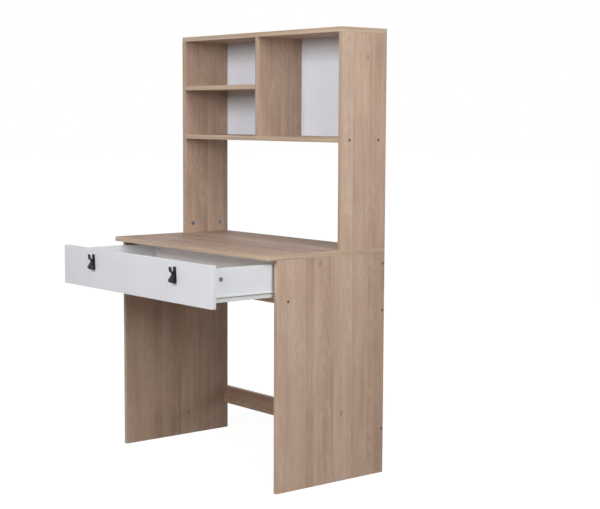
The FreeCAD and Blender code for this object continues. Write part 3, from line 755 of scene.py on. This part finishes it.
def stitchesAlongLines():
    # A bead of thread at every pitch of the lines
    tree, keys, given = newTree("stitchesAlongLines", {"Pitch": "Float", "Length": "Float",
                                                       "Thread": "Float", "Finish": "Material"})
    lines = addNode(tree, "GeometryNodeMeshToCurve", [given["Geometry"]])
    spots = addNode(tree, "GeometryNodeCurveToPoints", {0: lines, "Length": given["Pitch"]}, mode="LENGTH")
    tangent = spots.outputs["Tangent"]
    facing = addNode(tree, "FunctionNodeAlignRotationToVector", {"Vector": tangent}, axis="Z")
    bead = addNode(tree, "GeometryNodeMeshUVSphere", {"Segments": pull["beadSides"],
                                                      "Rings": pull["beadRings"], "Radius": 0.5})
    size = addNode(tree, "ShaderNodeCombineXYZ", [given["Thread"], given["Thread"], given["Length"]])
    copies = addNode(tree, "GeometryNodeInstanceOnPoints", {"Points": spots, "Instance": bead,
                                                            "Rotation": facing, "Scale": size})
    endTree(tree, copies, given["Finish"])
    return tree, keys


stitchTree = stitchesAlongLines()
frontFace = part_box("drawer_front")[0].y
screwHigh = (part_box("pull_screws")[0].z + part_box("pull_screws")[1].z) / 2


def strapWidth(z, low, high):
    # Seen from the front the strap narrows from its loop to its ends
    share = (z - low.z) / (high.z - low.z)
    return pull["width"] + (pull["tailWidth"] - pull["width"]) * share


def leatherPull(side):
    low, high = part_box("pull_" + side)
    x = (low.x + high.x) / 2
    line = []
    for p, n in roundedPath(pull["path"], pull["bends"]):
        out = Vector((0, n.x, -n.y))        # away from the inside of the loop
        at = Vector((x, frontFace - p.x * mm, screwHigh + p.y * mm)) + out * (pull["thickness"] / 2)
        line.append((at, out))
    strap = layStrip("pull" + side.title(), [(line, False)], pull["width"], pull["thickness"], pull["round"],
                     pull["round"], leather)
    for vert in strap.data.vertices:
        vert.co.x = x + (vert.co.x - x) * strapWidth(vert.co.z, low, high) / pull["width"]
    standFor(strap, "pull_" + side)

    # Two rows of stitches along the edges of the strap
    rows, edges = [], []
    shown = [(p, out) for p, out in line[len(line) // pull["unstitched"]:] if out.y < pull["stitchFacing"]]
    for edge in (-1, 1):
        first = len(rows)
        for p, out in shown:
            reach = strapWidth(p.z, low, high) / 2 - pull["stitchInset"]
            rows.append(p + Vector((edge * reach, 0, 0)) - out * (pull["thread"] / 2 - pull["threadProud"]))
        edges += [(i, i + 1) for i in range(first, len(rows) - 1)]
    stitches = grow("pullStitches" + side.title(), stitchTree, rows, edges, [],
                    {"Pitch": pull["stitchPitch"], "Length": pull["stitchLength"], "Thread": pull["thread"],
                     "Finish": thread})
    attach(stitches, "drawer")


for side in ("left", "right"):
    leatherPull(side)
print("pulls: straps and stitches")


def seenRays(tree):
    # 1 for what the camera sees, straight or in a reflection
    rays = addNode(tree, "ShaderNodeLightPath").outputs
    seen = rays["Is Camera Ray"]
    for ray in ("Is Glossy Ray", "Is Transmission Ray"):
        seen = addNode(tree, "ShaderNodeMath", [seen, rays[ray]], operation="MAXIMUM")
    return seen


floorLook = {"size": 60.0, "drop": 0.5 * mm, "glow": 0.9, "fade": (1.3, 3.0), "shade": "#8C8C8C",
             "bounce": "#B2AAA2"}


def paleFloor(name):
    # Matt white studio floor: white to the eye, with the soft shadow of the desk
    mat = bpy.data.materials.new(name)
    mat.use_nodes = True
    tree = mat.node_tree
    tree.nodes.clear()
    where = addNode(tree, "ShaderNodeTexCoord").outputs["Object"]
    away = addNode(tree, "ShaderNodeVectorMath", [where], operation="LENGTH").outputs["Value"]
    level = addNode(tree, "ShaderNodeMapRange", [away, *floorLook["fade"], floorLook["glow"], 1.0])
    glow = addNode(tree, "ShaderNodeEmission", {"Strength": level})
    shade = addNode(tree, "ShaderNodeBsdfDiffuse", {"Color": hexLinear(floorLook["shade"])})
    both = addNode(tree, "ShaderNodeAddShader", [glow, shade])
    bounce = addNode(tree, "ShaderNodeBsdfDiffuse", {"Color": hexLinear(floorLook["bounce"])})
    mix = addNode(tree, "ShaderNodeMixShader", [seenRays(tree), bounce, both])
    addNode(tree, "ShaderNodeOutputMaterial", [mix])
    return mat


half = floorLook["size"] / 2
floorMesh = bpy.data.meshes.new("studioFloor")
floorCorners = [(-half, -half, 0), (half, -half, 0), (half, half, 0), (-half, half, 0)]
floorMesh.from_pydata(floorCorners, [], [(0, 1, 2, 3)])
floorMesh.materials.append(paleFloor("paleFloor"))
floor = asObject("studioFloor", floorMesh)
floor.location.z = -floorLook["drop"]

lamps = {
    "rightSoftbox": {"at": (3.2, -0.3, 2.4), "aim": (0.3, 0.1, 1.3), "size": (1.2, 1.2), "power": 46.0},
    "cornerSoftbox": {"at": (2.6, -0.6, 1.9), "aim": (0.2, 0.1, 1.1), "size": (1.4, 1.4), "power": 17.0},
    "frontSoftbox": {"at": (0.6, -2.7, 2.1), "aim": (0.0, 0.2, 1.2), "size": (2.0, 1.2), "power": 63.0},
    "backSoftbox": {"at": (0.4, 3.4, 1.0), "aim": (0.0, 0.35, 0.9), "size": (2.4, 1.2), "power": 26.0},
    "leftSoftbox": {"at": (-3.2, 0.0, 1.1), "aim": (-0.44, 0.1, 0.8), "size": (1.2, 1.2), "power": 16.0},
}
for name, lamp in lamps.items():
    light = bpy.data.lights.new(name, "AREA")
    light.shape = "RECTANGLE"
    light.size, light.size_y = lamp["size"]
    light.energy = lamp["power"]
    holder = bpy.data.objects.new(name, light)
    holder.location = lamp["at"]
    holder.rotation_euler = (Vector(lamp["aim"]) - Vector(lamp["at"])).to_track_quat("-Z", "Y").to_euler()
    scene.collection.objects.link(holder)

roomLook = {"fill": "#FFFFFF", "strength": 0.07, "backdrop": "#FFFFFF"}
world = bpy.data.worlds.new("whiteRoom")
scene.world = world
world.use_nodes = True
room = world.node_tree
room.nodes.clear()
fill = addNode(room, "ShaderNodeBackground", {"Color": hexLinear(roomLook["fill"]),
                                              "Strength": roomLook["strength"]})
white = addNode(room, "ShaderNodeBackground", {"Color": hexLinear(roomLook["backdrop"]), "Strength": 1.0})
roomLight = addNode(room, "ShaderNodeMixShader", [seenRays(room), fill, white])
addNode(room, "ShaderNodeOutputWorld", [roomLight])
print("stage: floor,", len(lamps), "lamps")

view = {"at": (3.750484, -2.733901, 1.173205), "yaw": 50.506, "pitch": 5.662, "roll": 0.271, "lens": 83.142,
        "sensor": 36.0}
yaw, pitch, roll = (math.radians(view[k]) for k in ("yaw", "pitch", "roll"))
ahead = Vector((-math.sin(yaw) * math.cos(pitch), math.cos(yaw) * math.cos(pitch), -math.sin(pitch)))
right = Vector((math.cos(yaw), math.sin(yaw), 0))
up = right.cross(ahead)
cameraX = right * math.cos(roll) + up * math.sin(roll)
cameraY = up * math.cos(roll) - right * math.sin(roll)
camera = bpy.data.objects.new("camera", bpy.data.cameras.new("camera"))
camera.data.lens = view["lens"]
camera.data.sensor_width = view["sensor"]
camera.data.sensor_fit = "HORIZONTAL"
camera.matrix_world = Matrix((cameraX, cameraY, -ahead)).transposed().to_4x4()
camera.location = view["at"]
scene.collection.objects.link(camera)
scene.camera = camera
print("camera set")
